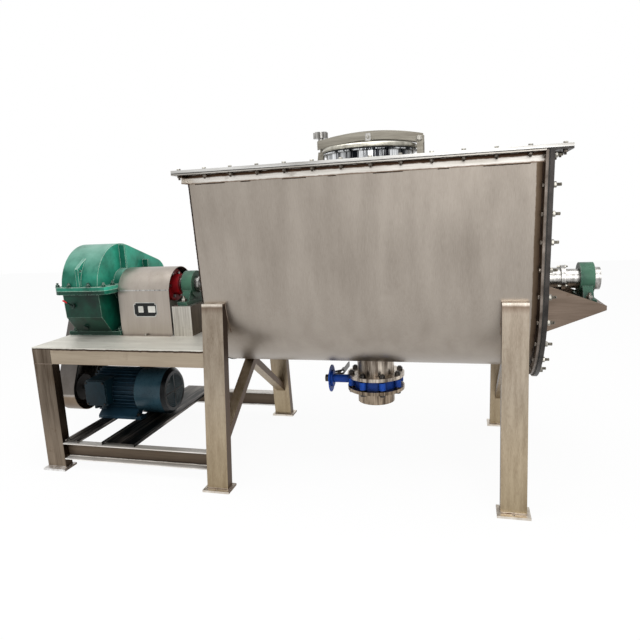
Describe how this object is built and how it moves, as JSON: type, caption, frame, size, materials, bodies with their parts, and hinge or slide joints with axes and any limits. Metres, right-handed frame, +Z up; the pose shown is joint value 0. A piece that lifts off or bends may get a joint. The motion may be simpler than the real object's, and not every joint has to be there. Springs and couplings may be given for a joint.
{
  "type": "ploughshare mixer",
  "caption": "Horizontal U-trough powder mixer with plough shovels, gear reducer, belt drive, hinged manhole and butterfly outlet valve.",
  "frame": {"origin": "on the floor, in the middle of the anchor holes of the four vessel legs", "axes": "+X along the shaft from the drive to the free end, +Y to the back, +Z up"},
  "size_m": [3.382, 1.295, 1.9232],
  "materials": {
    "stainless_sheet": "mill stainless sheet with brushed and pickled marks",
    "polished_stainless": "polished stainless",
    "zinc_steel": "zinc plated",
    "seal_rubber": "sheet and moulded rubber",
    "packing": "greased braided packing",
    "blue_paint": "glossy blue paint on cast iron",
    "machined_steel": "turned steel",
    "wear_steel": "welded stainless",
    "red_paint": "red paint on cast iron",
    "grey_green_paint": "dull green paint on cast iron",
    "green_paint": "green paint on cast iron",
    "teal_paint": "dark teal paint"
  },
  "bodies": {
    "frame": {"bearing_caps": "green_paint", "bearing_housings": "grey_green_paint", "bearing_pedestal": "stainless_sheet", "belt_guard": "stainless_sheet", "case_bearings": "machined_steel", "coupling_guard": "stainless_sheet", "drive_end_plate": "stainless_sheet", "end_plate_bolts": "zinc_steel", "fan_cover": "teal_paint", "gaskets": "seal_rubber", "gland_followers": "polished_stainless", "gland_necks": "polished_stainless", "gland_packings": "packing", "lid_bolts": "zinc_steel", "lid_lugs": "polished_stainless", "lid_plate": "stainless_sheet", "lower_beams": "stainless_sheet", "manhole_collar": "polished_stainless", "motor_frame": "teal_paint", "motor_rails": "stainless_sheet", "notch_plate": "zinc_steel", "oil_fittings": "zinc_steel", "outlet_neck": "polished_stainless", "outlet_spigot": "polished_stainless", "reducer_base": "green_paint", "reducer_cover": "green_paint", "removable_end_plate": "stainless_sheet", "rim_angle": "stainless_sheet", "table_deck": "stainless_sheet", "table_legs": "stainless_sheet", "tail_bracket": "stainless_sheet", "terminal_box": "teal_paint", "trough_end_flange": "stainless_sheet", "trough_shell": "stainless_sheet", "v_belts": "seal_rubber", "valve_body": "blue_paint", "valve_bolts": "zinc_steel", "valve_seat": "seal_rubber", "vessel_legs": "stainless_sheet"},
    "agitator": {"main_shaft": "machined_steel", "plough_arms": "wear_steel", "ploughshares": "wear_steel", "machine_coupling_half": "red_paint", "reducer_coupling_half": "red_paint", "coupling_pins": "machined_steel", "bearing_rings": "machined_steel", "output_shaft": "machined_steel"},
    "middle_gears": {"middle_shaft": "machined_steel"},
    "input_drive": {"input_shaft": "machined_steel", "driven_pulley": "red_paint"},
    "motor_drive": {"motor_rotor": "machined_steel", "motor_pulley": "red_paint"},
    "manhole_lid": {"manhole_cover": "polished_stainless", "manhole_arm": "polished_stainless"},
    "swing_stud": {"swing_bolt": "polished_stainless"},
    "knob": {"star_knob": "polished_stainless"},
    "valve_flap": {"valve_disc": "machined_steel", "valve_stem": "machined_steel", "valve_lever": "zinc_steel"},
    "latch": {"latch_trigger": "zinc_steel"}
  },
  "joints": [
    {"name": "agitator_spin", "type": "hinge", "parent": "frame", "child": "agitator", "pos_m": [0, 0, 1.07], "axis": [1, 0, 0], "continuous": true},
    {"name": "middle_spin", "type": "hinge", "parent": "frame", "child": "middle_gears", "pos_m": [-1.762, 0.26, 1.07], "axis": [1, 0, 0], "continuous": true},
    {"name": "input_spin", "type": "hinge", "parent": "frame", "child": "input_drive", "pos_m": [-1.762, 0.41, 1.07], "axis": [1, 0, 0], "continuous": true},
    {"name": "motor_spin", "type": "hinge", "parent": "frame", "child": "motor_drive", "pos_m": [-1.7, 0.02, 0.35], "axis": [1, 0, 0], "continuous": true},
    {"name": "manhole_hinge", "type": "hinge", "parent": "frame", "child": "manhole_lid", "pos_m": [0.303, 0, 1.846], "axis": [0, 1, 0], "range_deg": [0, 110]},
    {"name": "stud_swing", "type": "hinge", "parent": "frame", "child": "swing_stud", "pos_m": [-0.254, 0, 1.8], "axis": [0, -1, 0], "range_deg": [0, 100]},
    {"name": "knob_turn", "type": "hinge", "parent": "swing_stud", "child": "knob", "pos_m": [-0.254, 0, 1.86], "axis": [0, 0, 1], "continuous": true},
    {"name": "valve_turn", "type": "hinge", "parent": "frame", "child": "valve_flap", "pos_m": [0.025, 0, 0.475], "axis": [-1, 0, 0], "range_deg": [0, 90]},
    {"name": "latch_squeeze", "type": "hinge", "parent": "valve_flap", "child": "latch", "pos_m": [-0.2255, 0.128, 0.475], "axis": [0, 0, -1], "range_deg": [0, 5], "stiffness_Nm_per_rad": 2, "springref_deg": -5.73}
  ],
  "couplings": [
    {"joint": "middle_spin", "follows": "agitator_spin", "ratio": -4.7778},
    {"joint": "input_spin", "follows": "agitator_spin", "ratio": 16.301},
    {"joint": "motor_spin", "follows": "agitator_spin", "ratio": 32.601}
  ]
}
